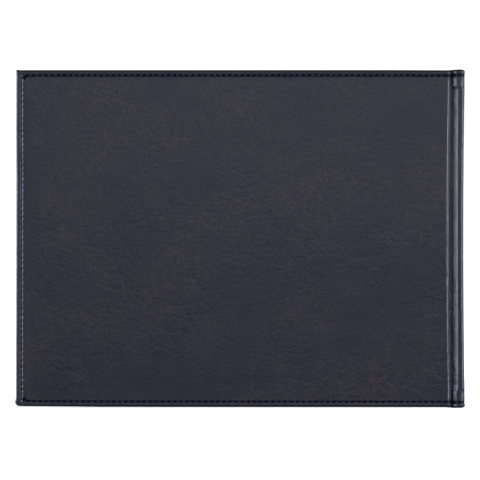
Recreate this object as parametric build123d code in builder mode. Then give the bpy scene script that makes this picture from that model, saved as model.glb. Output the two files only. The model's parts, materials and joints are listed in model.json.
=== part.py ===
from build123d import *
import os

# A landscape pilot logbook, case bound in leather-look cloth over board, standing closed on its tail edge.
# X runs across the cover, fore-edge at -X and spine at +X. Y runs through the thickness, back cover at -Y and
# front cover at +Y. Z is up. The origin is the middle of the tail edge. Millimetres.

# Overall size, with the stitches, which stand a little proud of the leather on the back
WIDTH = 304.0
THICKNESS = 20.0
HEIGHT = 229.4  # at the spine, whose leather stands a little higher than the covers
COVER_HEIGHT = 229.0

# Materials
LEATHER = 0.7
TURN_IN = 0.5  # the leather pared thin where it is turned inside the cover
TURN_IN_WIDTH = 15.0
BOARD = 2.4
SPINE_BOARD = 1.3
PAPER = 0.15
MULL = 0.25
LINER = 0.25
GAP = 0.05  # air between sheets that aren't glued to each other

# Text block
SIGNATURES = 12
SIGNATURE_PITCH = 1.0
SIGNATURE = 0.98
PAGE_HEIGHT = 222.0
SQUARE = 4.0  # how far the cover stands past the pages at the fore-edge

# French groove between board and spine, measured from the spine's outer face
GROOVE_BOARD_SIDE = 10.4
GROOVE_SPINE_SIDE = 7.9
RIDGE_TOP = 3.8
RIDGE_DROP = 0.3  # the ridge stands this much lower than the cover

# Stitching
THREAD = 0.5
THREAD_PROUD = 0.2  # how far a stitch stands above the leather that it lies on
CHANNEL = 0.8  # the groove pressed in the covers, which keeps the stitches below their faces
CHANNEL_DEPTH = 0.25
STITCH = 2.9
STITCH_PITCH = 3.9
ROW_PITCH = 4.15  # along the head and tail of the covers
STITCH_INSET = 3.6
STITCH_INSET_FORE = 3.2

# Sewing of the signatures
SEWING_THREAD = 0.3
SEWING_STATIONS = 6
SEWING_SPAN = 170.0

# Mull and bands
MULL_HEIGHT = 189.0
MULL_FLANGE = 22.0  # how far the mull reaches onto the board
BAND_RADIUS = 1.0
BAND_TAPE = 12.0

# Rounded edges
EDGE_ROUND = 1.0
GROOVE_ROUND = 1.3
BOARD_ROUND = 0.6

# Levels through the thickness, from the middle of the book outwards
BLOCK_HALF = SIGNATURES * SIGNATURE_PITCH / 2
FLY_IN = BLOCK_HALF + GAP
FLY_OUT = FLY_IN + PAPER
PASTE_IN = FLY_OUT + GAP
PASTE_OUT = PASTE_IN + PAPER
BOARD_IN = PASTE_OUT + TURN_IN
BOARD_OUT = BOARD_IN + BOARD
COVER_OUT = THICKNESS / 2
GROOVE_IN = PASTE_OUT + MULL
GROOVE_OUT = GROOVE_IN + LEATHER
RIDGE_OUT = COVER_OUT - RIDGE_DROP
HINGE_LEVEL = (FLY_IN + PASTE_OUT) / 2

# Places along the width
FORE_EDGE = -WIDTH / 2
SPINE_FACE = WIDTH / 2 - THREAD_PROUD
SPINE_BOARD_OUT = SPINE_FACE - LEATHER
SPINE_BOARD_IN = SPINE_BOARD_OUT - SPINE_BOARD
LINER_OUT = SPINE_BOARD_IN - GAP
LINER_IN = LINER_OUT - LINER
MULL_IN = LINER_IN - MULL
FOLD = MULL_IN - SEWING_THREAD  # outermost line of the signatures' folds
FOLD_CENTRE = FOLD - SIGNATURE / 2
PAGE_FORE = FORE_EDGE + SQUARE
RIDGE_START = SPINE_FACE - RIDGE_TOP
SLOPE_START = SPINE_FACE - GROOVE_SPINE_SIDE
BOARD_LEATHER_END = SPINE_FACE - GROOVE_BOARD_SIDE
BOARD_END = BOARD_LEATHER_END - LEATHER
JOINT_START = BOARD_LEATHER_END - GROOVE_ROUND - 0.1
ENDPAPER_FOLD = FOLD - PAPER

# Places up the height
PAGE_TAIL = (COVER_HEIGHT - PAGE_HEIGHT) / 2
PAGE_HEAD = PAGE_TAIL + PAGE_HEIGHT
MULL_TAIL = (COVER_HEIGHT - MULL_HEIGHT) / 2
BOARD_TAIL = LEATHER
BOARD_HEAD = COVER_HEIGHT - LEATHER
STITCH_ROWS = (STITCH_INSET, COVER_HEIGHT - STITCH_INSET)
STITCH_COLUMN = FORE_EDGE + STITCH_INSET_FORE

BACK = -1
FRONT = 1
SIDE_NAMES = {BACK: "back", FRONT: "front"}
OUTWARD = {BACK: -Axis.Y, FRONT: Axis.Y}


def write(piece, name):
    """Labels a finished piece and writes it as its own STEP file."""
    piece.part.label = name
    export_step(piece.part, f"parts/{name}.step")


def block(xs, ys, zs, side=FRONT, mode=Mode.ADD):
    """A box between two X, two Y and two Z values, with Y turned to the given side of the book."""
    middle = (sum(xs) / 2, side * sum(ys) / 2, sum(zs) / 2)
    with Locations(middle):
        Box(xs[1] - xs[0], ys[1] - ys[0], zs[1] - zs[0], mode=mode)


def cover_board(side):
    """The greyboard of one cover, with its outer edge at the groove rounded."""
    with BuildPart() as board:
        block((FORE_EDGE + LEATHER, BOARD_END), (BOARD_IN, BOARD_OUT), (BOARD_TAIL, BOARD_HEAD), side)
        groove_edge = board.edges().filter_by(Axis.Z).group_by(Axis.X)[-1].sort_by(OUTWARD[side])[-1]
        fillet(groove_edge, BOARD_ROUND)
    write(board, f"{SIDE_NAMES[side]}_board")


def channel(side):
    """Cuts the groove for one cover's stitches: a line along the head, the fore-edge and the tail."""
    half = CHANNEL / 2
    depth = (COVER_OUT - CHANNEL_DEPTH, COVER_OUT)
    low, high = STITCH_ROWS
    block((STITCH_COLUMN - half, STITCH_COLUMN + half), depth, (low - half, high + half), side, Mode.SUBTRACT)
    for row in STITCH_ROWS:
        block((STITCH_COLUMN - half, JOINT_START), depth, (row - half, row + half), side, Mode.SUBTRACT)


def cover_leather(side):
    """The leather of one cover: outer sheet, turned edges and turn-ins, around a space for the board."""
    inside = (FORE_EDGE + TURN_IN_WIDTH, JOINT_START)
    window = (TURN_IN_WIDTH, COVER_HEIGHT - TURN_IN_WIDTH)
    with BuildPart() as leather:
        block((FORE_EDGE, JOINT_START), (PASTE_OUT, COVER_OUT), (0, COVER_HEIGHT), side)
        corners = leather.edges().filter_by(Axis.Y).group_by(Axis.X)[0]
        fillet(corners, EDGE_ROUND)
        outer_face = leather.faces().filter_by(Axis.Y).sort_by(OUTWARD[side])[-1]
        fillet(outer_face.edges().sort_by(Axis.X)[:-1], EDGE_ROUND * 0.9)
        block(
            (FORE_EDGE + LEATHER, JOINT_START),
            (BOARD_IN, BOARD_OUT),
            (BOARD_TAIL, BOARD_HEAD),
            side,
            Mode.SUBTRACT,
        )
        block(inside, (PASTE_OUT, BOARD_IN), window, side, Mode.SUBTRACT)
        channel(side)
    write(leather, f"{SIDE_NAMES[side]}_cover_leather")


def slope_level(x, drop=0.0):
    """The height of the joint leather's slope at x, between the groove's floor and the ridge."""
    share = (x - SLOPE_START) / (RIDGE_START - SLOPE_START)
    return GROOVE_OUT + share * (RIDGE_OUT - GROOVE_OUT) - drop


def joint_leather(side):
    """The flexible strip: over the board's edge, down to the groove's floor and up the slope to the ridge."""
    rise = (RIDGE_OUT - GROOVE_OUT) / (RIDGE_START - SLOPE_START)
    drop = LEATHER * (1 + rise**2) ** 0.5
    inner_slope_start = SLOPE_START + (drop - LEATHER) / rise
    outer = [
        (JOINT_START, COVER_OUT),
        (BOARD_LEATHER_END, COVER_OUT),
        (BOARD_LEATHER_END, GROOVE_OUT),
        (SLOPE_START, GROOVE_OUT),
        (RIDGE_START, RIDGE_OUT),
    ]
    inner = [
        (JOINT_START, BOARD_OUT),
        (BOARD_END, BOARD_OUT),
        (BOARD_END, GROOVE_IN),
        (inner_slope_start, GROOVE_IN),
        (RIDGE_START, slope_level(RIDGE_START, drop)),
    ]
    with BuildPart() as leather:
        with BuildSketch(Plane.XY):
            with BuildLine():
                top = FilletPolyline(*[(x, side * y) for x, y in outer], radius=[GROOVE_ROUND, 0.5, 0.8])
                under = FilletPolyline(*[(x, side * y) for x, y in inner], radius=[BOARD_ROUND, 0.5, 0.8])
                Line(top @ 0, under @ 0)
                Line(top @ 1, under @ 1)
            make_face()
        extrude(amount=HEIGHT)
    write(leather, f"{SIDE_NAMES[side]}_joint_leather")


def stitches(middle, steps, counts, size):
    """A grid of flat stitches in the open sketch: its middle, spacings, counts, and one stitch's size."""
    with Locations(middle):
        with GridLocations(steps[0], steps[1], counts[0], counts[1]):
            Rectangle(size[0], size[1])


def stitching(side):
    """The stitches of one cover, lying in its channel: head and tail rows, and the fore-edge row."""
    first = STITCH_COLUMN + ROW_PITCH / 2
    along = int((JOINT_START - STITCH / 2 - first) / ROW_PITCH) + 1
    span = STITCH_ROWS[1] - STITCH_ROWS[0]
    up = round(span / STITCH_PITCH)
    half_height = COVER_HEIGHT / 2
    row_middle = first + (along - 1) * ROW_PITCH / 2
    with BuildPart() as thread:
        with BuildSketch(Plane.XZ.offset(-side * (COVER_OUT - CHANNEL_DEPTH))):
            stitches((row_middle, half_height), (ROW_PITCH, span), (along, 2), (STITCH, THREAD))
            stitches((STITCH_COLUMN, half_height), (0, STITCH_PITCH), (1, up), (THREAD, STITCH))
        extrude(amount=-side * THREAD_PROUD)
    write(thread, f"{SIDE_NAMES[side]}_stitching")


def joint_stitching(side):
    """The few stitches that carry the head and tail rows across the groove and up its slope."""
    slope = (SLOPE_START + 0.9, RIDGE_START - 0.4)
    floor = (BOARD_LEATHER_END + 0.5, SLOPE_START - 0.3)
    with BuildPart() as thread:
        for row in STITCH_ROWS:
            with BuildSketch(Plane.XY.offset(row - THREAD / 2)):
                with BuildLine():
                    low, high = [slope_level(x) for x in slope]
                    Polyline(
                        (slope[0], side * low),
                        (slope[1], side * high),
                        (slope[1], side * (high + THREAD_PROUD)),
                        (slope[0], side * (low + THREAD_PROUD)),
                        close=True,
                    )
                make_face()
                with Locations((sum(floor) / 2, side * (GROOVE_OUT + THREAD_PROUD / 2))):
                    Rectangle(floor[1] - floor[0], THREAD_PROUD)
            extrude(amount=THREAD)
    write(thread, f"{SIDE_NAMES[side]}_joint_stitching")


def pastedown(side):
    """The endpaper half glued inside a cover, with the paper infill between the turn-ins."""
    margin = 3.0
    page = (margin, COVER_HEIGHT - margin)
    infill_x = (FORE_EDGE + TURN_IN_WIDTH, BOARD_END - MULL_FLANGE)
    infill_z = (TURN_IN_WIDTH, COVER_HEIGHT - TURN_IN_WIDTH)
    with BuildPart() as sheet:
        block((FORE_EDGE + margin, ENDPAPER_FOLD), (PASTE_IN, PASTE_OUT), page, side)
        block(infill_x, (PASTE_OUT, BOARD_IN), infill_z, side)
    write(sheet, f"{SIDE_NAMES[side]}_pastedown")


def flyleaf(side):
    """The free endpaper half, with the round fold that joins it to the pastedown."""
    with BuildPart() as sheet:
        with BuildSketch(Plane.XY.offset(PAGE_TAIL)):
            with Locations(((PAGE_FORE + ENDPAPER_FOLD) / 2, side * (FLY_IN + FLY_OUT) / 2)):
                Rectangle(ENDPAPER_FOLD - PAGE_FORE, PAPER)
            with BuildLine():
                RadiusArc(
                    (ENDPAPER_FOLD, side * FLY_IN),
                    (ENDPAPER_FOLD, side * PASTE_OUT),
                    -side * (PASTE_OUT - FLY_IN) / 2,
                )
                Line((ENDPAPER_FOLD, side * PASTE_OUT), (ENDPAPER_FOLD, side * FLY_IN))
            make_face()
        extrude(amount=PAGE_HEIGHT)
    write(sheet, f"{SIDE_NAMES[side]}_flyleaf")


def mull_flange(side):
    """The part of the mull that lies in the joint and under the pastedown."""
    with BuildPart() as cloth:
        block(
            (BOARD_END - MULL_FLANGE, MULL_IN),
            (PASTE_OUT, PASTE_OUT + MULL),
            (MULL_TAIL, MULL_TAIL + MULL_HEIGHT),
            side,
        )
    write(cloth, f"{SIDE_NAMES[side]}_mull_flange")


def signature(number):
    """One folded section of log pages. Number 1 lies against the front cover."""
    level = BLOCK_HALF - (number - 0.5) * SIGNATURE_PITCH
    with BuildPart() as pages:
        with BuildSketch(Plane.XY.offset(PAGE_TAIL)):
            with Locations(((PAGE_FORE + FOLD_CENTRE) / 2, level)):
                Rectangle(FOLD_CENTRE - PAGE_FORE, SIGNATURE)
            with Locations((FOLD_CENTRE, level)):
                Circle(SIGNATURE / 2)
        extrude(amount=PAGE_HEIGHT)
    write(pages, f"signature_{number:02d}")


def end_band(name, page_edge, outwards):
    """The rolled cloth band at one end of the text block, with the tape that glues it to the folds."""
    rise = page_edge + outwards * (BAND_RADIUS + GAP)
    tape = sorted((rise, page_edge - outwards * BAND_TAPE))
    with BuildPart() as band:
        with Locations(Location((FOLD - BAND_RADIUS + 0.2, 0, rise), (90, 0, 0))):
            Cylinder(BAND_RADIUS, 2 * BLOCK_HALF)
        block((FOLD, FOLD + SEWING_THREAD * 0.8), (-BLOCK_HALF, BLOCK_HALF), tape)
    write(band, name)


def sewing():
    """The thread that crosses the folds at each sewing station."""
    step = SEWING_SPAN / (SEWING_STATIONS - 1)
    start = (COVER_HEIGHT - SEWING_SPAN) / 2
    heights = [start + n * step for n in range(SEWING_STATIONS)]
    across = [Location((FOLD + SEWING_THREAD / 2, 0, height), (90, 0, 0)) for height in heights]
    with BuildPart() as thread:
        with Locations(across):
            Cylinder(SEWING_THREAD / 2, 2 * BLOCK_HALF - SIGNATURE_PITCH)
    write(thread, "sewing_thread")


def mull_spine():
    """The open cloth glued over the folds and the sewing."""
    reach = PASTE_OUT + MULL
    with BuildPart() as cloth:
        block((MULL_IN, MULL_IN + MULL), (-reach, reach), (MULL_TAIL, MULL_TAIL + MULL_HEIGHT))
    write(cloth, "mull_spine")


def spine_liner():
    """The kraft paper glued over the mull."""
    with BuildPart() as paper:
        block((LINER_IN, LINER_OUT), (-BLOCK_HALF, BLOCK_HALF), (PAGE_TAIL + 2, PAGE_HEAD - 2))
    write(paper, "spine_liner")


def spine_board():
    """The stiff card that keeps the back of the book square."""
    half = RIDGE_OUT - LEATHER
    with BuildPart() as board:
        block((SPINE_BOARD_IN, SPINE_BOARD_OUT), (-half, half), (LEATHER, HEIGHT - LEATHER))
    write(board, "spine_board")


def spine_leather():
    """The leather of the back: outer face, both ridges, and the ends turned over the spine board."""
    half = RIDGE_OUT - LEATHER
    board_height = (LEATHER, HEIGHT - LEATHER)
    with BuildPart() as leather:
        block((RIDGE_START, SPINE_FACE), (-RIDGE_OUT, RIDGE_OUT), (0, HEIGHT))
        fillet(leather.edges().filter_by(Axis.Z).group_by(Axis.X)[-1], EDGE_ROUND * 0.9)
        block((SPINE_BOARD_IN, SPINE_BOARD_OUT), (-half, half), board_height, mode=Mode.SUBTRACT)
        block((RIDGE_START, SPINE_BOARD_IN), (-half, half), (0, HEIGHT), mode=Mode.SUBTRACT)
    write(leather, "spine_leather")


def spine_stitching():
    """The stitches of the head and tail rows across the ridges and the back."""
    ridge = (RIDGE_START + 0.3, SPINE_FACE - EDGE_ROUND)
    span = STITCH_ROWS[1] - STITCH_ROWS[0]
    with BuildPart() as thread:
        with BuildSketch(Plane.YZ.offset(SPINE_FACE)):
            stitches((0, COVER_HEIGHT / 2), (STITCH_PITCH, span), (4, 2), (STITCH, THREAD))
        extrude(amount=THREAD_PROUD)
        for side in SIDE_NAMES:
            for row in STITCH_ROWS:
                rows = (row - THREAD / 2, row + THREAD / 2)
                block(ridge, (RIDGE_OUT, RIDGE_OUT + THREAD_PROUD), rows, side)
    write(thread, "spine_stitching")


os.makedirs("parts", exist_ok=True)

for side in SIDE_NAMES:
    cover_board(side)
    cover_leather(side)
    joint_leather(side)
    stitching(side)
    joint_stitching(side)
    pastedown(side)
    flyleaf(side)
    mull_flange(side)

for number in range(1, SIGNATURES + 1):
    signature(number)

end_band("head_band", PAGE_HEAD, 1)
end_band("tail_band", PAGE_TAIL, -1)
sewing()
mull_spine()
spine_liner()
spine_board()
spine_leather()
spine_stitching()

print(f"cover hinges: X {ENDPAPER_FOLD:.3f}, Y +-{HINGE_LEVEL:.3f}; signature folds: X {FOLD_CENTRE:.3f}")
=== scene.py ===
import json
import math

import bmesh
import bpy
import numpy as np
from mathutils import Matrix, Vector

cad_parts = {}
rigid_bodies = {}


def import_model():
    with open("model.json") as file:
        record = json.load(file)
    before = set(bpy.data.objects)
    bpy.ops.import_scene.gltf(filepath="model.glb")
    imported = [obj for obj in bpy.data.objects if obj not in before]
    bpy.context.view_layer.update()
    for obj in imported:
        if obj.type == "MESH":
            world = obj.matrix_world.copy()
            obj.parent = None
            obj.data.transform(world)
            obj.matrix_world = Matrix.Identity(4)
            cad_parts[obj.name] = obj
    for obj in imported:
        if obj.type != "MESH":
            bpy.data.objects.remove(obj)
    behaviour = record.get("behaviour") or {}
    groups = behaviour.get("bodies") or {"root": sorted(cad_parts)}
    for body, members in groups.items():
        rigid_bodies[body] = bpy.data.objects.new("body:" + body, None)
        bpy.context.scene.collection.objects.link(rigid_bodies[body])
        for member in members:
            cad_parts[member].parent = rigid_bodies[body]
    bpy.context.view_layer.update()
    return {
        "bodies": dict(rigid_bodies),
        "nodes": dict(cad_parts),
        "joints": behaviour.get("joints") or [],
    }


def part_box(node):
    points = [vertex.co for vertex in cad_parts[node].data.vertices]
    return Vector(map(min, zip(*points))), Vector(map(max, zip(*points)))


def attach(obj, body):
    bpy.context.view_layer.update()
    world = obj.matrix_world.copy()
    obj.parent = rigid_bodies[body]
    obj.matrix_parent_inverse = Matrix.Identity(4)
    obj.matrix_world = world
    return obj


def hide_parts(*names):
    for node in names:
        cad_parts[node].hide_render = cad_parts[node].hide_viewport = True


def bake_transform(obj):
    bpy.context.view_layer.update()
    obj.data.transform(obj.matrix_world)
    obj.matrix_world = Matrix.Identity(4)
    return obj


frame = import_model()

# A case-bound logbook standing closed on its tail edge, with the back cover at -Y and the spine at +X.
# Shapes are worked out in millimetres and written in metres.
MM = 0.001
BACK = -1
FRONT = 1
SIDE_NAMES = {BACK: "back", FRONT: "front"}


def span(node):
    """The lowest and highest corner of a CAD node, in millimetres."""
    low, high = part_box(node)
    return np.array(low) / MM, np.array(high) / MM


COVER_LOW, COVER_HIGH = span("front_cover_leather")
SPINE_LOW, SPINE_HIGH = span("spine_leather")
BOARD_LOW, BOARD_HIGH = span("front_board")
SPINE_BOARD_LOW, SPINE_BOARD_HIGH = span("spine_board")
STITCHES_LOW, STITCHES_HIGH = span("front_stitching")
HINGE = {
    j["child"]: np.array(j["pos_m"]) / MM for j in frame["joints"] if j["child"].endswith("cover")
}

# Leather case
FORE_EDGE = COVER_LOW[0]
COVER_IN = COVER_LOW[1]
COVER_OUT = COVER_HIGH[1]
COVER_TOP = COVER_HIGH[2]
SPINE_FACE = SPINE_HIGH[0]
RIDGE_OUT = SPINE_HIGH[1]
SPINE_IN = SPINE_BOARD_LOW[0]
GROOVE_OUT = 7.15  # the face of the groove's floor
GROOVE_IN = 6.68  # its back
GROOVE_LEFT = 141.55  # its side by the board
GROOVE_RIGHT = 144.0  # its side by the spine
RIDGE_START = 147.5  # where the flat of the spine's ridge begins
BLEND_END = 141.4  # and moves wholly with it from here
BOARD_EDGE_ROUND = 1.9
FORE_EDGE_ROUND = 1.3
LEAST_REACH = 0.02  # of a rounded corner, so that a straight one still has separate points
CAP_HEIGHT = 12.0  # the ends of the spine, where the leather is doubled and rounder
CAP_FADE = 3.0  # the height over which a cap turns into the plain section
END_RINGS = (0.0, 0.06, 0.22, 0.5, 0.8, 1.1, 1.5)  # heights of the rings of points at a rounded end
BLACK_SHADE_FROM = 0.6  # of the painted shade from 0 to 1, above which faces take the near-black painted-shade material

# Stitching
PITCH = 3.9
ROW_PITCH = 4.15  # along the head and tail of the covers
GRID = PITCH / 6
ROW_GRID = ROW_PITCH / 6
FINE = 0.3 * np.arange(-5, 6)  # closer points across a line of stitches
THREAD_WIDTH = 0.5
COLUMN_INSET = 0.5  # the fore-edge stitches sit this much further in than the plain CAD thread
STITCH_COLUMN = STITCHES_LOW[0] + THREAD_WIDTH / 2 + COLUMN_INSET
STITCH_ROWS = (STITCHES_LOW[2] + THREAD_WIDTH / 2, STITCHES_HIGH[2] - THREAD_WIDTH / 2)
STITCHES_UP = 57  # in the fore-edge column
STITCH_RADIUS = 0.36
STITCH_REACH = 1.2  # from the middle of a stitch to its needle hole
MIDDLE_Z = COVER_TOP / 2

# Paper
PAPER = 0.15  # thickness of the endpaper
LEAF = 0.11  # thickness of a page
LEAF_PITCH = 0.1225  # from one page to the next
SHEETS = 4  # in a signature
SIGNATURES = 12


# Mesh tools


def build(name, points, faces, material, sharp=40.0, painted_light=None):
    """A closed mesh object from points in millimetres, which remembers each point's place at rest."""
    points = np.asarray(points, float).reshape(-1, 3)
    used = np.unique([i for face in faces for i in face])
    renumber = np.full(len(points), -1)
    renumber[used] = np.arange(len(used))
    kept = points[used] * MM
    mesh = bpy.data.meshes.new(name)
    mesh.from_pydata(kept.tolist(), [], [[int(renumber[i]) for i in face] for face in faces])
    work = bmesh.new()
    work.from_mesh(mesh)
    bmesh.ops.recalc_face_normals(work, faces=work.faces)
    work.to_mesh(mesh)
    work.free()
    mesh.polygons.foreach_set("use_smooth", [True] * len(mesh.polygons))
    mesh.set_sharp_from_angle(angle=math.radians(sharp))
    rest = mesh.attributes.new("rest", "FLOAT_VECTOR", "POINT")
    rest.data.foreach_set("vector", kept.astype(np.float32).ravel())
    # The leather's painted shade (above 0) and painted highlight (below 0) are kept on each point.
    if painted_light is not None:
        painted_data = mesh.attributes.new("painted_light", "FLOAT", "POINT")
        painted_data.data.foreach_set("value", np.asarray(painted_light, np.float32).ravel()[used])
    mesh.materials.append(material)
    made = bpy.data.objects.new(name, mesh)
    bpy.context.scene.collection.objects.link(made)
    return made


def grid_faces(index, column_breaks=(0,), row_breaks=(0,)):
    """Quads over a grid of point numbers, with the cells between the breaks merged into larger faces."""
    columns, rows = index.shape
    left, right = column_breaks[0], column_breaks[-1]
    low, high = row_breaks[0], row_breaks[-1]
    faces = []
    for c in range(columns - 1):
        for r in range(rows - 1):
            if not (left <= c < right and low <= r < high):
                faces.append((index[c, r], index[c + 1, r], index[c + 1, r + 1], index[c, r + 1]))
    for a, b in zip(column_breaks, column_breaks[1:]):
        for c, d in zip(row_breaks, row_breaks[1:]):
            under = range(a, b) if c == low else (a,)
            beyond = range(c, d) if b == right else (c,)
            over = range(b, a, -1) if d == high else (b,)
            before = range(d, c, -1) if a == left else (d,)
            loop = [index[i, c] for i in under]
            loop += [index[b, i] for i in beyond]
            loop += [index[i, d] for i in over]
            loop += [index[a, i] for i in before]
            faces.append(loop)
    return faces


def tube_faces(rings, sides):
    """Faces round a tube of rings of points, and over its two ends."""
    index = np.arange(rings * sides).reshape(rings, sides)
    index = np.concatenate([index, index[:, :1]], axis=1)
    return grid_faces(index) + [tuple(index[0, :-1]), tuple(index[-1, :-1])]


def smooth_noise(u, v, size, seed):
    """Smooth random heights from -1 to 1 over u and v, with hills about size apart in each."""
    values = np.random.default_rng(seed).uniform(-1, 1, (97, 89))
    a = u / size[0] + 300
    b = v / size[1] + 300
    i = np.floor(a).astype(int)
    j = np.floor(b).astype(int)
    s = (a - i) ** 2 * (3 - 2 * (a - i))
    t = (b - j) ** 2 * (3 - 2 * (b - j))
    lower = values[i % 97, j % 89] * (1 - s) + values[(i + 1) % 97, j % 89] * s
    upper = values[i % 97, (j + 1) % 89] * (1 - s) + values[(i + 1) % 97, (j + 1) % 89] * s
    return lower * (1 - t) + upper * t


def bump(distance, width):
    """A smooth hill of height 1 at distance 0."""
    return np.exp(-((distance / width) ** 2))


def plateau(distance, width):
    """A flat-topped hill of height 1 round distance 0."""
    return np.exp(-((distance / width) ** 4))


def end_inset(from_end, radius):
    """How far a face draws in near a rounded end."""
    reach = np.clip(radius - from_end, 0, radius)
    return radius - np.sqrt(radius**2 - reach**2)


def rounded(corners):
    """Points along a line with soft corners. A corner is x, y, radius, steps round it, steps up to it."""
    points = [np.array(corners[0][:2], float)]
    for before, here, after in zip(corners, corners[1:], corners[2:]):
        a, b, c = (np.array(p[:2], float) for p in (before, here, after))
        back = (a - b) / np.linalg.norm(a - b)
        on = (c - b) / np.linalg.norm(c - b)
        turn = math.acos(np.clip(-(back @ on), -1, 1))
        reach = max(here[2] * math.tan(turn / 2), LEAST_REACH)
        start = b + back * reach
        end = b + on * reach
        last = points[-1]
        points += [last + (start - last) * (n + 1) / here[4] for n in range(here[4])]
        for n in range(here[3]):
            t = (n + 1) / here[3]
            points.append(start * (1 - t) ** 2 + 2 * b * t * (1 - t) + end * t**2)
    return points


def outward(points):
    """The outward direction at each point of a line that runs from the spine to the fore-edge, at +Y."""
    along = np.gradient(points, axis=0)
    turned = np.stack([along[:, 1], -along[:, 0]], axis=1)
    return turned / np.linalg.norm(turned, axis=1)[:, None]


def arc_lengths(line):
    """How far along a line each of its points is."""
    return np.concatenate([[0], np.cumsum(np.linalg.norm(np.diff(line, axis=0), axis=1))])


# The case's own shape


def warp(points):
    """Bends points the way the used case has moved: a waist, edges not quite straight, worn corners."""
    x, y, z = np.moveaxis(np.array(points, float), -1, 0)
    from_top = COVER_TOP - z
    from_middle = np.clip((z - MIDDLE_Z) / MIDDLE_Z, -1, 1)
    waist = 0.5 - 1.1 * (1 - from_middle**2)
    waist_share = np.interp(x, (120, GROOVE_LEFT, 144, 148, 150.5), (0, 1.1, 0.3, 0.3, 1))
    near_tail = np.exp(-z / 25)
    near_head = np.exp(-from_top / 25)
    tail_rise = np.interp(x, (-152, -145, -135, -95, 139, 143), (1.35, 1.1, 0.95, 0.7, 0.55, 0.0))
    head_rise = np.interp(x, (-152, 100, 140, 143, 150), (0.1, 0.15, 0.0, 0.25, 0.6))
    from_fore = np.clip(x - FORE_EDGE, 0, None)
    near_fore = np.exp(-from_fore / 3)
    tail_corner = end_inset(z, 2.2)
    head_corner = end_inset(from_top, 0.9)
    spine_corner = end_inset(np.minimum(z, from_top), 1.3)
    bulge = 0.55 * bump(z - 3.2, 1.8) + 0.3 * np.exp(-z / 28)
    wander = 0.15 * smooth_noise(z, 0 * z, (38, 1), 3)
    moved_x = x + waist * waist_share + (tail_corner - bulge + 0.3 * head_corner) * near_fore
    moved_x = moved_x + wander * np.exp(-from_fore / 12) - 0.1 * np.exp(-from_fore / 20)
    moved_x = moved_x - spine_corner * np.interp(x, (148.5, SPINE_FACE), (0, 1))
    ear = 0.5 * np.exp(-from_fore / 0.7) * np.exp(-np.clip(from_top, 0, None) / 1.2)
    moved_z = z + tail_rise * near_tail + head_rise * near_head + ear
    return np.stack([moved_x, y, moved_z], axis=-1)


def section(cap):
    """The case's outer and inner line from the middle of the spine onto the board, at a cap or between."""
    shoulder, crest = (5.6, 150.1) if cap else (7.5, 150.95)
    ridge = RIDGE_START - (1.1 if cap else 0)
    slope = 145.7 - (1.7 if cap else 0)
    groove_right = GROOVE_RIGHT - (0.9 if cap else 0)
    out = rounded(
        [
            (SPINE_FACE, 0),
            (SPINE_FACE, shoulder, 1.5, 5, 6),
            (crest, RIDGE_OUT, 1.6, 7, 5),
            (ridge, RIDGE_OUT, 0.4, 4, 3),
            (slope, 8.25, 1.0, 4, 2),
            (groove_right, GROOVE_OUT, 0.5, 4, 3),
            (GROOVE_LEFT, GROOVE_OUT, 0.5, 4, 4),
            (GROOVE_LEFT, COVER_OUT, BOARD_EDGE_ROUND, 9, 2),
            (BLEND_END - 3, COVER_OUT),
        ]
    )
    inside = rounded(
        [
            (SPINE_IN, 0),
            (SPINE_IN, 5.0, 0.3, 5, 6),
            (SPINE_IN, 8.0, 0.3, 7, 5),
            (147.6, 8.75, 0.3, 4, 3),
            (146.2, 7.6, 0.8, 4, 2),
            (144.2, GROOVE_IN, 0.5, 4, 3),
            (142.0, GROOVE_IN, 0.3, 4, 4),
            (141.2, COVER_IN + 0.03, 0.2, 9, 2),
            (BLEND_END - 3, COVER_IN),
        ]
    )
    return out, inside


def cover_columns():
    """Places across the flat of a cover, from the board's edge at the groove to the fore-edge.

    There are six to a stitch of the head and tail rows, and closer ones at the fore-edge's stitches.
    """
    count = math.floor((GROOVE_LEFT - BOARD_EDGE_ROUND - 0.3 - STITCH_COLUMN) / ROW_GRID)
    even = STITCH_COLUMN + ROW_GRID * np.arange(count, 0, -1)
    even = even[even > STITCH_COLUMN + FINE[-1] + 0.15]
    fine = STITCH_COLUMN - FINE
    return np.concatenate([even, fine[fine > FORE_EDGE + FORE_EDGE_ROUND + 0.2]])


def fore_edge_lines():
    """The rounded outer and inner corners of a cover's fore-edge."""
    half = (COVER_OUT + COVER_IN) / 2
    start = FORE_EDGE + FORE_EDGE_ROUND + 0.1
    outer_corner = (FORE_EDGE, COVER_OUT, FORE_EDGE_ROUND, 7, 1)
    inner_corner = (FORE_EDGE, COVER_IN, 0.7, 7, 1)
    out = [(start, COVER_OUT), outer_corner, (FORE_EDGE, half + 0.2)]
    inside = [(start, COVER_IN), inner_corner, (FORE_EDGE, half - 0.3)]
    return [rounded(line)[1:] + [np.array(line[-1], float)] for line in (out, inside)]


def case_lines(cap):
    """The whole outer and inner line of half the case, as two arrays of the same length."""
    out, inside = section(cap)
    flat = cover_columns()
    fore_out, fore_in = fore_edge_lines()
    out = out + [np.array((x, COVER_OUT)) for x in flat] + fore_out
    inside = inside + [np.array((x, COVER_IN)) for x in flat] + fore_in
    return np.array(out), np.array(inside)


def case_rows():
    """Heights of the rings of points up the case: six to a stitch, and closer at the ends and rows."""
    middle = MIDDLE_Z + GRID * np.arange(-200, 201)
    start = END_RINGS[-1] + GRID / 2
    middle = middle[(middle > start) & (middle < COVER_TOP - start)]
    for row in STITCH_ROWS:
        middle = middle[np.abs(middle - row) > FINE[-1] + 0.15]
    sewn_rings = [row + FINE for row in STITCH_ROWS]
    ends = np.array(END_RINGS)
    return np.sort(np.concatenate([ends, middle, *sewn_rings, COVER_TOP - ends]))


def from_hole(along, pitch):
    """How far along a row of stitches a place is from the nearest needle hole."""
    return (along + pitch / 2) % pitch - pitch / 2


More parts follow.
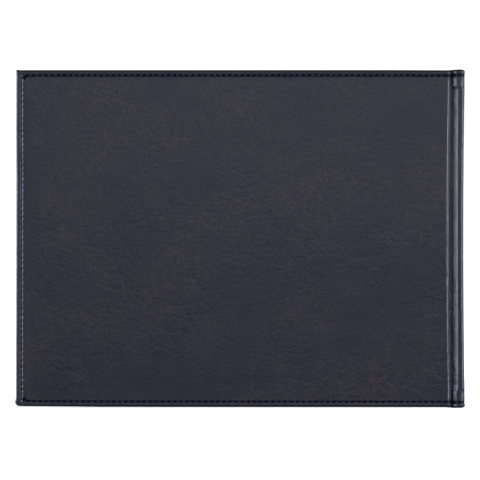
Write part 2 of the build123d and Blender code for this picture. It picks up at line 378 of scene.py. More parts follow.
def sewn(across, along, pitch, outside):
    """The leather's relief by a row of stitches: channel, needle holes, puckers and the edge's padding."""
    outer = across * outside > 0
    hole = plateau(from_hole(along, pitch), 1.0)
    relief = -0.40 * bump(across, 0.65) - 0.08 * bump(across, np.where(outer, 0.65, 2.2))
    relief = relief - 0.15 * plateau(across, 0.6) * hole
    relief = relief + 0.07 * bump(np.abs(across) - 1.2, 0.4) * (1 - 2 * hole)
    return relief + 0.15 * bump(across - outside * 1.95, 0.7)


def sewn_shade(across, along, pitch, outside):
    """Painted shade: 1 in a needle hole, less in the channel and beside it; below 0 a painted highlight on
    the pad by the edge.
    """
    outer = across * outside > 0
    hole = plateau(across, 0.62) * plateau(from_hole(along, pitch), 1.05)
    channel = 0.68 * bump(across, np.where(outer, 0.7, 2.3))
    return np.maximum(hole, channel) - 0.12 * bump(across - outside * 1.7, 0.6)


def column_shade(across, up):
    """The same painted shade by the fore-edge column, with a painted highlight on the leather's inner lip
    beside each hole.
    """
    past_hole = from_hole(up, PITCH)
    hole = plateau(across, 0.55) * plateau(past_hole, 1.05)
    beside = 0.4 * bump(across + 0.9, 0.7) + 0.58 * bump(across - 1.7, 1.5) * (across > 1.1)
    lip = bump(across - 0.8 - 0.22 * past_hole, 0.42) * (0.15 + 0.95 * plateau(past_hole, 1.15))
    return np.maximum(hole, beside) - lip


def case_relief(x, y, z, arc, groove):
    """How far the leather's outer face stands above its plain section, and its painted shade (above 0) or
    painted highlight (below 0).
    """
    low, high = STITCH_ROWS
    on_cover = x < GROOVE_LEFT - 0.2
    past_column = np.clip((x - STITCH_COLUMN + 0.6) / 0.8, 0, 1)
    between_rows = np.clip((np.minimum(z - low, high - z) + 0.6) / 0.8, 0, 1) * on_cover
    along = np.where(on_cover, x - STITCH_COLUMN, arc * ROW_PITCH / PITCH)
    up = z - MIDDLE_Z - PITCH / 2
    relief = 0 * x
    shade = 0 * x
    for row, outside in ((low, -1), (high, 1)):
        relief = relief + sewn(z - row, along, ROW_PITCH, outside) * past_column
        shade = shade + sewn_shade(z - row, along, ROW_PITCH, outside) * past_column
    relief = relief + sewn(x - STITCH_COLUMN, up, PITCH, -1) * between_rows
    shade = shade + column_shade(x - STITCH_COLUMN, up) * between_rows
    # Painted shade along the head and tail edges.
    shade = shade + bump(np.minimum(z, COVER_TOP - z), 1.2)
    broad = 0.10 * smooth_noise(x, z, (46, 52), 11) + 0.035 * smooth_noise(x, z, (17, 15), 12)
    relief = relief + broad * on_cover * np.clip((x - FORE_EDGE - 6) / 10, 0, 1)
    wrinkles = 0.16 * smooth_noise(arc, z, (1.5, 6.5), 13)
    wrinkles = wrinkles + 0.09 * smooth_noise(arc, z, (0.8, 1.4), 14)
    return relief + wrinkles * groove, np.clip(shade, -1, 1)


def paint_black_shade(skin, material):
    """Gives the faces with the deepest painted shade, in needle holes, channels and along the head and tail
    edges, a near-black material without gloss, as painted shade.
    """
    painted_data = np.zeros(len(skin.data.vertices), np.float32)
    skin.data.attributes["painted_light"].data.foreach_get("value", painted_data)
    skin.data.materials.append(material)
    for face in skin.data.polygons:
        face.material_index = int(painted_data[list(face.vertices)].mean() > BLACK_SHADE_FROM)


def case_skins(side):
    """The outer and inner faces of half the case as grids of points, and the painted shade and highlight on
    the outer one.
    """
    rows = case_rows()
    mid_out, mid_in = case_lines(False)
    cap_out, cap_in = case_lines(True)
    from_end = np.minimum(rows, COVER_TOP - rows)
    cap = np.clip((CAP_HEIGHT + CAP_FADE / 2 - from_end) / CAP_FADE, 0, 1)
    cap = (cap * cap * (3 - 2 * cap))[:, None]
    out = mid_out[:, None] * (1 - cap) + cap_out[:, None] * cap
    inside = mid_in[:, None] * (1 - cap) + cap_in[:, None] * cap
    out_normal = outward(mid_out)[:, None] * (1 - cap) + outward(cap_out)[:, None] * cap
    in_normal = -outward(mid_in)[:, None]
    across = mid_out[:, 0]
    groove = np.interp(across, (141.2, 142.2, 146.8, 147.6), (0, 1, 1, 0))[:, None]
    round_places = (GROOVE_LEFT - 1, GROOVE_LEFT + 0.5, 147, 149)
    end_round = np.interp(across, round_places, (1.6, 0.5, 0.5, 1.5))[:, None]
    inner_round = np.interp(across, round_places[:2], (0.55, 0.2))[:, None]
    x = out[..., 0]
    y = out[..., 1]
    z = np.broadcast_to(rows, x.shape)
    arc = np.broadcast_to(arc_lengths(mid_out)[:, None], x.shape)
    relief, shade = case_relief(x, y, z, arc, groove)
    height = relief * np.clip(from_end / 0.5, 0, 1) - end_inset(from_end[None], end_round)
    out = out + out_normal * height[..., None]
    inside = inside + in_normal * -end_inset(from_end[None], inner_round)[..., None]
    skins = [warp(np.stack([p[..., 0], side * p[..., 1], z], axis=-1)) for p in (out, inside)]
    return skins, shade


def case_faces():
    """Faces over both skins of half the case and round their edges, larger on the plain flat of a cover."""
    rows = case_rows()
    across = case_lines(False)[0][:, 0]
    columns, count = len(across), len(rows)
    outer = np.arange(columns * count).reshape(columns, count)
    inner = outer + columns * count
    border_rows = int(np.searchsorted(rows, STITCH_ROWS[0] + 3.2))
    blocks = (count - 2 * border_rows - 1) // 6
    row_breaks = [border_rows + 6 * n for n in range(blocks + 1)]
    first_flat = len(section(False)[0]) + 2
    last_flat = int(np.searchsorted(-across, -(STITCH_COLUMN + 3.2)))
    flat_breaks = [first_flat + 6 * n for n in range((last_flat - first_flat) // 6 + 1)]
    faces = grid_faces(outer, flat_breaks, row_breaks)
    faces += grid_faces(inner, list(range(1, first_flat)) + flat_breaks, row_breaks)
    for edge in (np.s_[:, 0], np.s_[:, -1], np.s_[0], np.s_[-1]):
        faces += grid_faces(np.stack([outer[edge], inner[edge]]))
    return faces


def case_half(side, material, dull):
    """Half of the leather case as one closed skin: a cover, its groove and half of the spine."""
    name = SIDE_NAMES[side]
    skins, shade = case_skins(side)
    points = np.concatenate([skins[0].reshape(-1, 3), skins[1].reshape(-1, 3)])
    painted_light = np.concatenate([shade.ravel(), 0 * shade.ravel()])
    skin = build(f"{name}_leather", points, case_faces(), material, painted_light=painted_light)
    paint_black_shade(skin, dull)
    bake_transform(skin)
    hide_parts(f"{name}_cover_leather", f"{name}_joint_leather", "spine_leather")


# Stitches


def stitch(seed):
    """One stitch as points of along, across and height, bent into its holes, with the ply's twist in it."""
    rings = 11
    sides = 8
    random = np.random.default_rng(seed)
    share = np.linspace(-1, 1, rings)[:, None]
    angle = np.linspace(0, 2 * math.pi, sides, endpoint=False)[None]
    lean = 0.24 + random.uniform(-0.05, 0.05)
    radius = STITCH_RADIUS * (1 + 0.2 * np.cos(2 * angle - 8.0 * share)) * (1 - 0.3 * share**6)
    along = STITCH_REACH * share + 0 * angle
    across = lean * share + radius * np.cos(angle)
    height = -0.2 + random.uniform(-0.03, 0.03) - 0.7 * share**4 + radius * np.sin(angle)
    points = np.stack([along, across, height], axis=-1).reshape(-1, 3)
    return points, tube_faces(rings, sides)


def stitch_row(name, places, place, material, seed):
    """A row or rows of stitches. Each place is a distance along and the row; place() maps it to the book."""
    points = []
    faces = []
    for number, (distance, row) in enumerate(places):
        shape, sides = stitch(seed + number)
        start = len(points) * len(shape)
        faces += [[i + start for i in face] for face in sides]
        points.append(place(shape[:, 0] + distance, shape[:, 1], shape[:, 2], row))
    return build(name, warp(np.concatenate(points)), faces, material, sharp=60.0)


def cover_stitches(side, material):
    """The head, tail and fore-edge rows of one cover."""
    last = GROOVE_LEFT - BOARD_EDGE_ROUND
    count = int((last - STITCH_COLUMN) / ROW_PITCH)
    rows = [(STITCH_COLUMN + ROW_PITCH * (n + 0.5), row) for row in STITCH_ROWS for n in range(count)]
    column = [(MIDDLE_Z + PITCH * (n - STITCHES_UP // 2), None) for n in range(STITCHES_UP)]

    def place(along, across, height, row):
        level = side * (COVER_OUT + height)
        if row is None:
            return np.stack([STITCH_COLUMN + side * across, level, along], axis=-1)
        return np.stack([along, level, row + across], axis=-1)

    name = SIDE_NAMES[side]
    made = stitch_row(f"{name}_cover_stitches", rows + column, place, material, 100)
    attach(made, f"{name}_cover")
    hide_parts(f"{name}_stitching")


def section_place(side):
    """Maps along, across and height onto the leather of the spine and groove, from the spine's middle."""
    line = case_lines(True)[0]
    direction = outward(line)
    arc = arc_lengths(line)

    def place(along, across, height, row):
        turn = np.where(along < 0, -1, 1)
        at = np.abs(along)
        x, y = (np.interp(at, arc, line[:, n]) for n in range(2))
        nx, ny = (np.interp(at, arc, direction[:, n]) for n in range(2))
        return np.stack([x + nx * height, side * turn * (y + ny * height), row + across], axis=-1)

    return place


def joint_stitches(side, material):
    """The stitches that carry the head and tail rows over the ridge and across the groove."""
    places = [(PITCH * (n + 0.5), row) for row in STITCH_ROWS for n in (3, 4, 5)]
    name = SIDE_NAMES[side]
    made = stitch_row(f"{name}_groove_stitches", places, section_place(side), material, 500)
    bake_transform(made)
    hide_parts(f"{name}_joint_stitching")


def spine_stitches(material):
    """The stitches across the spine and round its two ridges."""
    places = [(PITCH * (n + 0.5), row) for row in STITCH_ROWS for n in range(-3, 3)]
    made = stitch_row("spine_stitches", places, section_place(FRONT), material, 600)
    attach(made, "text_block")
    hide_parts("spine_stitching")


# Paper, cloth and board


def sheet_points(line, thickness, low, high):
    """A sheet's points and faces: a line of x, y points given a thickness, between two heights."""
    line = np.array(line, float)
    normal = outward(line)
    sides = np.concatenate([line + normal * thickness / 2, (line - normal * thickness / 2)[::-1]])
    count = len(sides)
    points = [[(x, y, z) for z in (low, high)] for x, y in sides]
    ring = np.arange(count * 2).reshape(count, 2)
    ring = np.concatenate([ring, ring[:1]])
    half = count // 2
    faces = grid_faces(ring)
    for end in (0, 1):
        for n in range(half - 1):
            far = count - 1 - n
            faces.append((ring[n, end], ring[n + 1, end], ring[far - 1, end], ring[far, end]))
    return np.array(points).reshape(-1, 3), faces


def gutter_columns(start, fine_end, end):
    """Places across a page, close together near the fold, where it bends, and then far apart."""
    return list(np.linspace(start, fine_end, 22)) + list(np.linspace(fine_end, end, 7))[1:]


def pastedown(side, material):
    """The endpaper glued inside a cover. It shows the edge of the turned-in leather faintly through it."""
    name = SIDE_NAMES[side]
    low, high = span(f"{name}_pastedown")
    level = COVER_IN - PAPER / 2
    across = list(np.linspace(high[0], BLEND_END, 9)) + list(np.linspace(BLEND_END, low[0], 60))[1:]
    up = np.concatenate([[low[2]], np.linspace(low[2] + 1, high[2] - 1, 46), [high[2]]])
    x, z = np.meshgrid(across, up, indexing="ij")
    from_edge = np.minimum.reduce([x - FORE_EDGE, z, COVER_TOP - z])
    turned_in = 14.5
    glued = x < 139
    step = 0.05 * np.clip(from_edge - turned_in, 0, 1) * glued
    puff = 0.02 * smooth_noise(x, z, (21, 19), 31) * glued
    near = side * (level - PAPER / 2 + step + puff)
    far = side * (level + PAPER / 2 + 0 * x)
    near_index = np.arange(x.size).reshape(x.shape)
    far_index = near_index + x.size
    points = np.concatenate([np.stack([x, y, z], axis=-1).reshape(-1, 3) for y in (near, far)])
    faces = grid_faces(near_index) + grid_faces(far_index)
    for edge in (np.s_[0], np.s_[-1], np.s_[:, 0], np.s_[:, -1]):
        faces += grid_faces(np.stack([near_index[edge], far_index[edge]]))
    made = build(f"{name}_pasted_endpaper", points, faces, material)
    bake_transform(made)
    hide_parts(f"{name}_pastedown")


def flyleaf(side, material):
    """The free endpaper leaf with its round fold at the gutter."""
    name = SIDE_NAMES[side]
    low, high = span(f"{name}_flyleaf")
    hinge = HINGE[f"{name}_cover"]
    level = 6.125
    fold = abs(hinge[1]) - level
    turn = np.radians(np.linspace(-90, 90, 9))
    arc = [
        (hinge[0] + fold * math.cos(a), side * (level + fold + fold * math.sin(-a))) for a in turn
    ]
    flat = [(x, side * level) for x in gutter_columns(hinge[0] - 0.2, 112, low[0])]
    points, faces = sheet_points(arc + flat, PAPER * 0.9, low[2], high[2])
    made = build(f"{name}_free_endpaper", points, faces, material)
    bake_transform(made)
    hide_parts(f"{name}_flyleaf")


def signature(number, material):
    """Folded sheets, one inside the other, sewn through the fold, with edges that don't quite line up."""
    node = f"signature_{number:02d}"
    low, high = span(node)
    half = (high[1] - low[1]) / 2
    level = (high[1] + low[1]) / 2
    fold_centre = high[0] - half
    random = np.random.default_rng(40 + number)
    points = []
    faces = []
    for sheet in range(SHEETS):
        radius = half - LEAF / 2 - LEAF_PITCH * sheet
        out, back = random.uniform(0.0, 0.35, 2)
        drop, rise = random.uniform(0.0, 0.12, 2)
        turn = np.radians(np.linspace(90, -90, 9))
        arc = [(fold_centre + radius * math.cos(a), level + radius * math.sin(a)) for a in turn]
        upper = [(x, level + radius) for x in gutter_columns(fold_centre - 0.4, 112, low[0] + out)]
        lower = [(x, level - radius) for x in gutter_columns(fold_centre - 0.4, 112, low[0] + back)]
        shape, sides = sheet_points(upper[::-1] + arc + lower, LEAF, low[2] + drop, high[2] - rise)
        start = sum(len(p) for p in points)
        faces += [[i + start for i in face] for face in sides]
        points.append(shape)
    made = build(f"pages_{number:02d}", np.concatenate(points), faces, material, sharp=30.0)
    body = f"leaves_{number:02d}"
    if body in frame["bodies"]:
        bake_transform(made)
    else:
        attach(made, "text_block")
    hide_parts(node)


def mull_flange(side, material):
    """The open cloth that runs from the spine under the endpaper, onto the board."""
    name = SIDE_NAMES[side]
    low, high = span(f"{name}_mull_flange")
    across = list(np.linspace(high[0], BLEND_END, 11)) + list(np.linspace(BLEND_END, low[0], 5))[1:]
    level = side * (abs(low[1]) + abs(high[1])) / 2
    points, faces = sheet_points([(x, level) for x in across], high[1] - low[1], low[2], high[2])
    made = build(f"{name}_mull", points, faces, material)
    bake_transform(made)
    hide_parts(f"{name}_mull_flange")


def extruded(line, heights, warped=False):
    """A closed line of x, y points carried up through the heights, as points and faces."""
    points = np.array([[(x, y, z) for z in heights] for x, y in line], float)
    if warped:
        points[..., 0] = warp(points)[..., 0]
    index = np.arange(len(line) * len(heights)).reshape(len(line), len(heights))
    faces = grid_faces(np.concatenate([index, index[:1]]))
    return points.reshape(-1, 3), faces + [tuple(index[:, 0]), tuple(index[:, -1])]


def cover_board(side, material):
    """The board in a cover, with the edge at the groove pared round."""
    name = SIDE_NAMES[side]
    low, high = BOARD_LOW + 0.05, BOARD_HIGH - 0.05
    groove_end = GROOVE_LEFT - 1.7
    line = rounded(
        [
            (low[0] + 0.5, low[1]),
            (groove_end, low[1], 0.3, 3, 1),
            (groove_end, high[1], 1.2, 6, 1),
            (low[0], high[1], 0.9, 5, 24),
            (low[0], low[1] + 0.3),
        ]
    )
    line = line + [np.array((low[0], low[1] + 0.3)), np.array((low[0] + 0.3, low[1]))]
    ends = np.array((0.9, 1.0, 1.3))
    heights = np.concatenate([ends, np.linspace(4, COVER_TOP - 4, 21), COVER_TOP - ends[::-1]])
    points, faces = extruded([(x, side * y) for x, y in line], heights)
    made = build(f"{name}_greyboard", points, faces, material)
    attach(made, f"{name}_cover")
    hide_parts(f"{name}_board")


def spine_stiffener(material):
    """The card in the spine, bowed with the case."""
    outer = np.array([p for p in section(True)[0] if p[0] > SPINE_IN])
    across = np.linspace(-7.4, 7.4, 17)
    leather = 0.85
    bowed = [(np.interp(abs(y), outer[:, 1], outer[:, 0]) - leather, y) for y in across]
    line = bowed + [(SPINE_IN + 0.08, y) for y in across[::-1]]
    heights = np.linspace(SPINE_BOARD_LOW[2] + 1.2, SPINE_BOARD_HIGH[2] - 1.2, 25)
    points, faces = extruded(line, heights, warped=True)
    points[:, 0] = np.maximum(points[:, 0], SPINE_IN + 0.05)
    made = build("spine_stiffener", points, faces, material)
    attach(made, "text_block")
    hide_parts("spine_board")


def end_band(node, outwards, material):
    """A cord wrapped in striped cloth along the end of the spine folds, and the tape that holds it."""
    low, high = span(node)
    cord_radius = 0.92
    centre_x = low[0] + 1.0
    centre_z = (high[2] - 1.0) if outwards > 0 else (low[2] + 1.0)
    rings = 97
    sides = 14
    y = np.linspace(low[1], high[1], rings)[:, None]
    angle = np.linspace(0, 2 * math.pi, sides, endpoint=False)[None]
    wrap = 0.09 * np.abs(np.sin(math.pi * (y - low[1]) / 0.5 + 0.15 * angle))
    closing = 1 - 0.3 * bump(np.minimum(y - low[1], high[1] - y), 0.25)
    radius = (cord_radius - 0.05 + wrap) * closing
    x = centre_x + radius * np.cos(angle)
    z = centre_z + radius * np.sin(angle)
    points = np.stack([x, y + 0 * angle, z], axis=-1)
    made = build(f"{node}_cord", points, tube_faces(rings, sides), material, sharp=70.0)
    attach(made, "text_block")
    tape_low, tape_high = (low[2], centre_z) if outwards > 0 else (centre_z, high[2])
    edge = [(high[0] - 0.12, y) for y in np.linspace(high[1], low[1], 9)]
    tape_points, tape_faces = sheet_points(edge, 0.2, tape_low, tape_high)
    tape = build(f"{node}_tape", tape_points, tape_faces, material)
    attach(tape, "text_block")
    for piece in (made, tape):
        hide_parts(node)


# Materials


def add(tree, kind, inputs=(), **settings):
    """A node with its settings, and its inputs set to values or joined to other nodes' outputs."""
    made = tree.nodes.new(kind)
    for name, value in settings.items():
        setattr(made, name, value)
    for key, value in dict(inputs).items():
        if isinstance(value, bpy.types.NodeSocket):
            tree.links.new(value, made.inputs[key])
        else:
            made.inputs[key].default_value = value
    return made


def calc(tree, operation, *values):
    """The output of one sum."""
    return add(tree, "ShaderNodeMath", dict(enumerate(values)), operation=operation).outputs[0]


def noise(tree, place, scale, detail=2.0, roughness=0.5, distortion=0.0):
    """Smooth noise from 0 to 1."""
    values = {
        "Vector": place,
        "Scale": scale,
        "Detail": detail,
        "Roughness": roughness,
        "Distortion": distortion,
    }
    return add(tree, "ShaderNodeTexNoise", values).outputs["Fac"]


def noise_warp(tree, place):
    """A place moved a little by noise, so that cells drawn there have wandering edges."""
    values = {"Vector": place, "Scale": 150.0, "Detail": 2.0}
    push = add(tree, "ShaderNodeTexNoise", values).outputs["Color"]
    small = add(tree, "ShaderNodeVectorMath", {0: push, "Scale": 0.008}, operation="SCALE").outputs[0]
    return add(tree, "ShaderNodeVectorMath", {0: place, 1: small}, operation="ADD").outputs[0]


def stretched(tree, place, scale):
    """A place with each axis multiplied."""
    return add(tree, "ShaderNodeMapping", {"Vector": place, "Scale": scale}).outputs[0]


def remap(tree, value, low, high, new_low=0.0, new_high=1.0):
    """A value's range changed to another, and held inside it."""
    values = {0: value, 1: low, 2: high, 3: new_low, 4: new_high}
    return add(tree, "ShaderNodeMapRange", values).outputs[0]


def mix(tree, factor, a, b):
    """A colour between two others."""
    values = {0: factor, 6: a, 7: b}
    return add(tree, "ShaderNodeMix", values, data_type="RGBA").outputs[2]


def bumped(tree, height, strength, distance, below=None):
    """A surface direction changed by a height map."""
    values = {"Height": height, "Strength": strength, "Distance": distance}
    if below is not None:
        values["Normal"] = below
    return add(tree, "ShaderNodeBump", values).outputs[0]


def material(name, at_rest=True):
    """A new material, its node tree, its shader and where each point is, at rest or in its object."""
    made = bpy.data.materials.new(name)
    made.use_nodes = True
    tree = made.node_tree
    shader = tree.nodes["Principled BSDF"]
    if at_rest:
        place = add(tree, "ShaderNodeAttribute", attribute_name="rest").outputs["Vector"]
    else:
        place = add(tree, "ShaderNodeTexCoord").outputs["Object"]
    return made, tree, shader, place


def join(tree, shader, **links):
    """Joins outputs to the shader's inputs, named with underscores for spaces."""
    for name, output in links.items():
        tree.links.new(output, shader.inputs[name.replace("_", " ")])


def leather_material():
    """Dark blue-black leather-look cover with a fine grain, soft creases, and warmer and cooler patches,
    plus painted shade and painted highlight by the stitches and edges.
    """
    made, tree, shader, place = material("dark_leather")
    patches = noise(tree, place, 17, 3, 0.55)
    flecks = noise(tree, place, 260, 2, 0.6)
    warm = remap(tree, patches, 0.45, 0.66)
    warm = calc(tree, "MULTIPLY", warm, remap(tree, flecks, 0.35, 0.6))
    base = mix(tree, warm, (0.0080, 0.0105, 0.0180, 1), (0.030, 0.0175, 0.0160, 1))
    mottle = noise(tree, place, 420, 3, 0.6)
    base = mix(tree, remap(tree, mottle, 0.32, 0.66, 0, 0.85), base, (0.004, 0.006, 0.011, 1))
    # Painted light read from the mesh: painted shade darkens the colour and raises roughness, painted
    # highlight lightens it and lowers roughness.
    painted_light = add(tree, "ShaderNodeAttribute", attribute_name="painted_light").outputs["Fac"]
    shade = remap(tree, painted_light, 0, 1)
    painted_highlight = remap(tree, painted_light, 0, -1)
    base = mix(tree, calc(tree, "MULTIPLY", painted_highlight, 0.8), base, (0.13, 0.13, 0.17, 1))
    base = mix(tree, calc(tree, "MULTIPLY", shade, 0.95), base, (0.0010, 0.0014, 0.0032, 1))
    pores = add(tree, "ShaderNodeTexVoronoi", {"Vector": place, "Scale": 950.0, "Randomness": 0.9})
    grain = calc(tree, "ADD", pores.outputs["Distance"], calc(tree, "MULTIPLY", mottle, 0.9))
    veins = add(
        tree,
        "ShaderNodeTexVoronoi",
        {"Vector": noise_warp(tree, place), "Scale": 105.0, "Randomness": 1.0},
        feature="DISTANCE_TO_EDGE",
    )
    wrinkled = remap(tree, noise(tree, place, 24, 2, 0.5), 0.4, 0.65)
    vein = calc(tree, "MULTIPLY", remap(tree, veins.outputs["Distance"], 0.0, 0.16), wrinkled)
    crease_place = stretched(tree, place, (1.0, 1.0, 1.5))
    creases = noise(tree, crease_place, 190, 4, 0.6, 0.3)
    folds = noise(tree, place, 42, 2, 0.5, 0.2)
    soft = bumped(tree, folds, 0.25, 0.0009)
    soft = bumped(tree, creases, 0.4, 0.0004, soft)
    soft = bumped(tree, vein, 0.3, 0.0003, soft)
    fine = bumped(tree, grain, 0.5, 0.0002, soft)
    gloss = remap(tree, noise(tree, place, 65, 3, 0.6), 0.3, 0.7, 0.36, 0.47)
    gloss = calc(tree, "ADD", gloss, calc(tree, "MULTIPLY", shade, 0.45))
    gloss = calc(tree, "SUBTRACT", gloss, calc(tree, "MULTIPLY", painted_highlight, 0.12))
    join(tree, shader, Base_Color=base, Roughness=gloss, Normal=fine)
    shader.inputs["Specular IOR Level"].default_value = 0.42
    return made


def black_shade_material():
    """Near-black leather without gloss, painted shade for needle holes, channels and the head and tail
    edges, which light hardly reaches.
    """
    made, tree, shader, place = material("painted_shade_leather")
    fibres = noise(tree, place, 2400, 3, 0.6)
    base = mix(tree, remap(tree, fibres, 0.3, 0.7), (0.0008, 0.0012, 0.0030, 1), (0.0022, 0.0032, 0.0075, 1))
    join(tree, shader, Base_Color=base, Normal=bumped(tree, fibres, 0.4, 0.0001))
    shader.inputs["Roughness"].default_value = 1.0
    shader.inputs["Specular IOR Level"].default_value = 0.05
    return made


def thread_material():
    """Navy polyester thread, two-ply, with a dull sheen."""
    made, tree, shader, place = material("navy_thread")
    plies = noise(tree, place, 1900, 2, 0.6)
    base = mix(tree, remap(tree, plies, 0.3, 0.7), (0.0028, 0.0050, 0.018, 1), (0.008, 0.0135, 0.042, 1))
    fibres = bumped(tree, noise(tree, stretched(tree, place, (1, 1, 3)), 3200, 2, 0.5), 0.5, 0.00008)
    join(tree, shader, Base_Color=base, Normal=fibres)
    shader.inputs["Roughness"].default_value = 0.6
    shader.inputs["Specular IOR Level"].default_value = 0.3
    shader.inputs["Sheen Weight"].default_value = 0.04
    return made


def board_material():
    """Grey recycled board, with darker and lighter fibres."""
    made, tree, shader, place = material("greyboard")
    pulp = noise(tree, place, 900, 4, 0.65)
    base = mix(tree, remap(tree, pulp, 0.3, 0.7), (0.27, 0.25, 0.22, 1), (0.42, 0.40, 0.36, 1))
    rough = bumped(tree, pulp, 0.4, 0.00015)
    join(tree, shader, Base_Color=base, Normal=rough)
    shader.inputs["Roughness"].default_value = 0.92
    return made


def endpaper_material():
    """Heavy cream endpaper, laid faintly, with a few fibres."""
    made, tree, shader, place = material("cream_endpaper")
    cloud = noise(tree, place, 60, 4, 0.6)
    fibre = noise(tree, stretched(tree, place, (1, 1, 5)), 420, 3, 0.7)
    base = mix(tree, remap(tree, cloud, 0.3, 0.7), (0.52, 0.485, 0.41, 1), (0.59, 0.565, 0.495, 1))
    base = mix(tree, remap(tree, fibre, 0.62, 0.72, 0, 0.35), base, (0.40, 0.36, 0.285, 1))
    laid = add(
        tree,
        "ShaderNodeTexWave",
        {"Vector": place, "Scale": 320.0, "Distortion": 0.6, "Detail": 1.0},
        bands_direction="Z",
    )
    tooth = calc(tree, "ADD", calc(tree, "MULTIPLY", laid.outputs["Fac"], 0.25), fibre)
    join(tree, shader, Base_Color=base, Normal=bumped(tree, tooth, 0.22, 0.00006))
    shader.inputs["Roughness"].default_value = 0.82
    return made


def lines(tree, coordinate, pitch, width, offset=0.0):
    """1 on thin lines that repeat along a coordinate, and 0 between."""
    phase = calc(tree, "FRACT", calc(tree, "DIVIDE", calc(tree, "SUBTRACT", coordinate, offset), pitch))
    return calc(tree, "LESS_THAN", phase, width / pitch)


def within(tree, coordinate, low, high):
    """1 between two values of a coordinate, and 0 outside."""
    above = calc(tree, "GREATER_THAN", coordinate, low)
    return calc(tree, "MULTIPLY", above, calc(tree, "LESS_THAN", coordinate, high))


def page_material():
    """Pale green-white log paper with a ruled table: fine rows, columns, and a tinted band for headings."""
    made, tree, shader, place = material("ruled_log_paper")
    axes = add(tree, "ShaderNodeSeparateXYZ", {0: place}).outputs
    cloud = noise(tree, place, 75, 3, 0.6)
    base = mix(tree, remap(tree, cloud, 0.3, 0.7), (0.55, 0.565, 0.51, 1), (0.60, 0.61, 0.56, 1))
    table_x = within(tree, axes["X"], -0.140, 0.134)
    table_z = within(tree, axes["Z"], 0.018, 0.210)
    table = calc(tree, "MULTIPLY", table_x, table_z)
    rows = lines(tree, axes["Z"], 0.0075, 0.00032, 0.018)
    columns = lines(tree, axes["X"], 0.0171, 0.00032, -0.140)
    heading = within(tree, axes["Z"], 0.1905, 0.210)
    totals = within(tree, axes["Z"], 0.018, 0.0405)
    ink = calc(tree, "MULTIPLY", calc(tree, "MAXIMUM", rows, columns), table)
    tint = calc(tree, "MULTIPLY", calc(tree, "MAXIMUM", heading, totals), table)
    base = mix(tree, calc(tree, "MULTIPLY", tint, 0.55), base, (0.35, 0.47, 0.375, 1))
    base = mix(tree, calc(tree, "MULTIPLY", ink, 0.75), base, (0.08, 0.15, 0.12, 1))
    fibre = noise(tree, place, 900, 3, 0.7)
    join(tree, shader, Base_Color=base, Normal=bumped(tree, fibre, 0.15, 0.00004))
    shader.inputs["Roughness"].default_value = 0.78
    return made


def mull_material(at_rest):
    """Open-weave starched cloth."""
    made, tree, shader, place = material("mull_flange_cloth" if at_rest else "mull_cloth", at_rest)
    weave = []
    for axis in ("X", "Y", "Z"):
        wave = add(tree, "ShaderNodeTexWave", {"Vector": place, "Scale": 240.0}, bands_direction=axis)
        weave.append(wave.outputs["Fac"])
    height = calc(tree, "MAXIMUM", calc(tree, "MAXIMUM", weave[0], weave[1]), weave[2])
    base = mix(tree, height, (0.42, 0.38, 0.30, 1), (0.72, 0.69, 0.60, 1))
    join(tree, shader, Base_Color=base, Normal=bumped(tree, height, 0.8, 0.0002))
    shader.inputs["Roughness"].default_value = 0.9
    return made


def kraft_material():
    """Brown kraft paper with long fibres."""
    made, tree, shader, place = material("kraft_liner", False)
    fibre = noise(tree, stretched(tree, place, (1, 1, 6)), 700, 4, 0.65)
    base = mix(tree, remap(tree, fibre, 0.3, 0.7), (0.30, 0.19, 0.105, 1), (0.46, 0.32, 0.19, 1))
    join(tree, shader, Base_Color=base, Normal=bumped(tree, fibre, 0.3, 0.0001))
    shader.inputs["Roughness"].default_value = 0.85
    return made


def sewing_material():
    """Waxed linen thread."""
    made, tree, shader, place = material("waxed_linen", False)
    twist = noise(tree, stretched(tree, place, (1, 4, 1)), 2500, 2, 0.6)
    base = mix(tree, remap(tree, twist, 0.3, 0.7), (0.60, 0.55, 0.45, 1), (0.80, 0.77, 0.68, 1))
    join(tree, shader, Base_Color=base, Normal=bumped(tree, twist, 0.5, 0.0001))
    shader.inputs["Roughness"].default_value = 0.45
    return made


def band_material():
    """Cloth woven in navy and cream stripes."""
    made, tree, shader, place = material("striped_band")
    axes = add(tree, "ShaderNodeSeparateXYZ", {0: place}).outputs
    stripe = lines(tree, axes["Y"], 0.002, 0.001, -0.006)
    threads = noise(tree, stretched(tree, place, (3, 1, 3)), 2600, 2, 0.6)
    navy = mix(tree, threads, (0.008, 0.014, 0.05, 1), (0.02, 0.032, 0.10, 1))
    cream = mix(tree, threads, (0.58, 0.54, 0.44, 1), (0.80, 0.77, 0.68, 1))
    join(tree, shader, Base_Color=mix(tree, stripe, navy, cream), Normal=bumped(tree, threads, 0.5, 0.0001))
    shader.inputs["Roughness"].default_value = 0.6
    shader.inputs["Sheen Weight"].default_value = 0.3
    return made


def finish_node(node, made):
    """Gives a CAD node its material."""
    mesh = frame["nodes"][node].data
    mesh.materials.clear()
    mesh.materials.append(made)


# Stage, lights and camera


def floor():
    """A pale floor that stays white round the book and doesn't shine up at it."""
    made, tree, shader, place = material("pale_floor", False)
    tone = remap(tree, noise(tree, place, 2.0, 2), 0.3, 0.7)
    join(tree, shader, Base_Color=mix(tree, tone, (0.93, 0.93, 0.935, 1), (0.95, 0.95, 0.95, 1)))
    shader.inputs["Roughness"].default_value = 0.9
    shader.inputs["Specular IOR Level"].default_value = 0.0
    shader.inputs["Emission Color"].default_value = (1, 1, 1, 1)
    from_book = add(tree, "ShaderNodeVectorMath", {0: place}, operation="LENGTH").outputs["Value"]
    join(tree, shader, Emission_Strength=remap(tree, from_book, 0.35, 1.2, 0.7, 1.1))
    half = 30.0
    mesh = bpy.data.meshes.new("studio_floor")
    corners = [(-half, -half, 0), (half, -half, 0), (half, half, 0), (-half, half, 0)]
    mesh.from_pydata(corners, [], [(0, 1, 2, 3)])
    mesh.materials.append(made)
    ground = bpy.data.objects.new("studio_floor", mesh)
    bpy.context.scene.collection.objects.link(ground)
    ground.visible_diffuse = False
    ground.visible_glossy = False


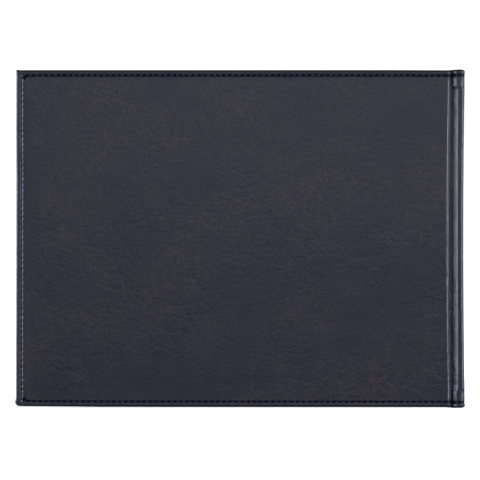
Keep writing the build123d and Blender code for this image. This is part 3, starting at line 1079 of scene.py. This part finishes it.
def softbox(name, place, aim, size, power, colour):
    """A rectangular studio light aimed at a point."""
    light = bpy.data.lights.new(name, "AREA")
    light.shape = "RECTANGLE"
    light.size, light.size_y = size
    light.energy = power
    light.color = colour
    lamp = bpy.data.objects.new(name, light)
    bpy.context.scene.collection.objects.link(lamp)
    lamp.location = place
    towards = np.array(aim, float) - np.array(place, float)
    lamp.rotation_mode = "QUATERNION"
    lamp.rotation_quaternion = track(towards)
    lamp.visible_camera = False


def track(towards):
    """The rotation that turns a light or camera to face a direction, with its top up."""
    return Vector(towards).to_track_quat("-Z", "Y")


def lights():
    """For each cover, a large softbox by its fore-edge, a smaller by its spine, and a soft fill in front."""
    edge_colour = (0.78, 0.82, 1.0)
    fill_colour = (0.92, 0.94, 1.0)
    middle = (0, 0, 0.11)
    for side, fore_power, spine_power in ((BACK, 78, 60), (FRONT, 40, 6)):
        name = SIDE_NAMES[side]
        left = (-1.64, side * 0.44, 0.24)
        right = (1.45, side * 0.86, 0.24)
        softbox(f"{name}_fore_softbox", left, middle, (1.4, 0.9), fore_power, edge_colour)
        softbox(f"{name}_spine_softbox", right, middle, (0.64, 0.9), spine_power, edge_colour)
        softbox(f"{name}_fill", (0.0, side * 1.35, 0.47), (0, 0, 0.16), (0.7, 0.4), 3.6, fill_colour)


def surroundings():
    """White studio surroundings that the camera sees, with a dimmer light on the book from the same air."""
    world = bpy.data.worlds.new("studio")
    bpy.context.scene.world = world
    world.use_nodes = True
    tree = world.node_tree
    tree.nodes.clear()
    seen = add(tree, "ShaderNodeLightPath").outputs["Is Camera Ray"]
    white = add(tree, "ShaderNodeBackground", {"Color": (1, 1, 1, 1), "Strength": 1.1})
    air = add(tree, "ShaderNodeBackground", {"Color": (0.93, 0.96, 1, 1), "Strength": 0.035})
    chosen = add(tree, "ShaderNodeMixShader", {0: seen, 1: air.outputs[0], 2: white.outputs[0]})
    add(tree, "ShaderNodeOutputWorld", {"Surface": chosen.outputs[0]})


def camera():
    """A long lens square on to the back cover, at the book's middle height."""
    distance = 3.0
    seen_width = 0.3253
    made = bpy.data.cameras.new("camera")
    made.sensor_width = 36
    made.lens = made.sensor_width * distance / seen_width
    made.clip_start = 0.1
    made.clip_end = 200
    eye = bpy.data.objects.new("camera", made)
    bpy.context.scene.collection.objects.link(eye)
    eye.location = (-0.0003, -(distance + COVER_OUT * MM), 0.1139)
    eye.rotation_euler = (math.pi / 2, 0, 0)
    bpy.context.scene.camera = eye


leather = leather_material()
black_shade_leather = black_shade_material()
thread = thread_material()
endpaper = endpaper_material()
pages = page_material()
mull = mull_material(True)
band = band_material()
greyboard = board_material()

for side in SIDE_NAMES:
    case_half(side, leather, black_shade_leather)
    cover_stitches(side, thread)
    joint_stitches(side, thread)
    pastedown(side, endpaper)
    flyleaf(side, endpaper)
    mull_flange(side, mull)
    cover_board(side, greyboard)
spine_stitches(thread)
spine_stiffener(greyboard)
for number in range(1, SIGNATURES + 1):
    signature(number, pages)
end_band("head_band", 1, band)
end_band("tail_band", -1, band)

finish_node("mull_spine", mull_material(False))
finish_node("spine_liner", kraft_material())
finish_node("sewing_thread", sewing_material())

floor()
lights()
surroundings()
camera()
bpy.context.scene.view_settings.view_transform = "Standard"
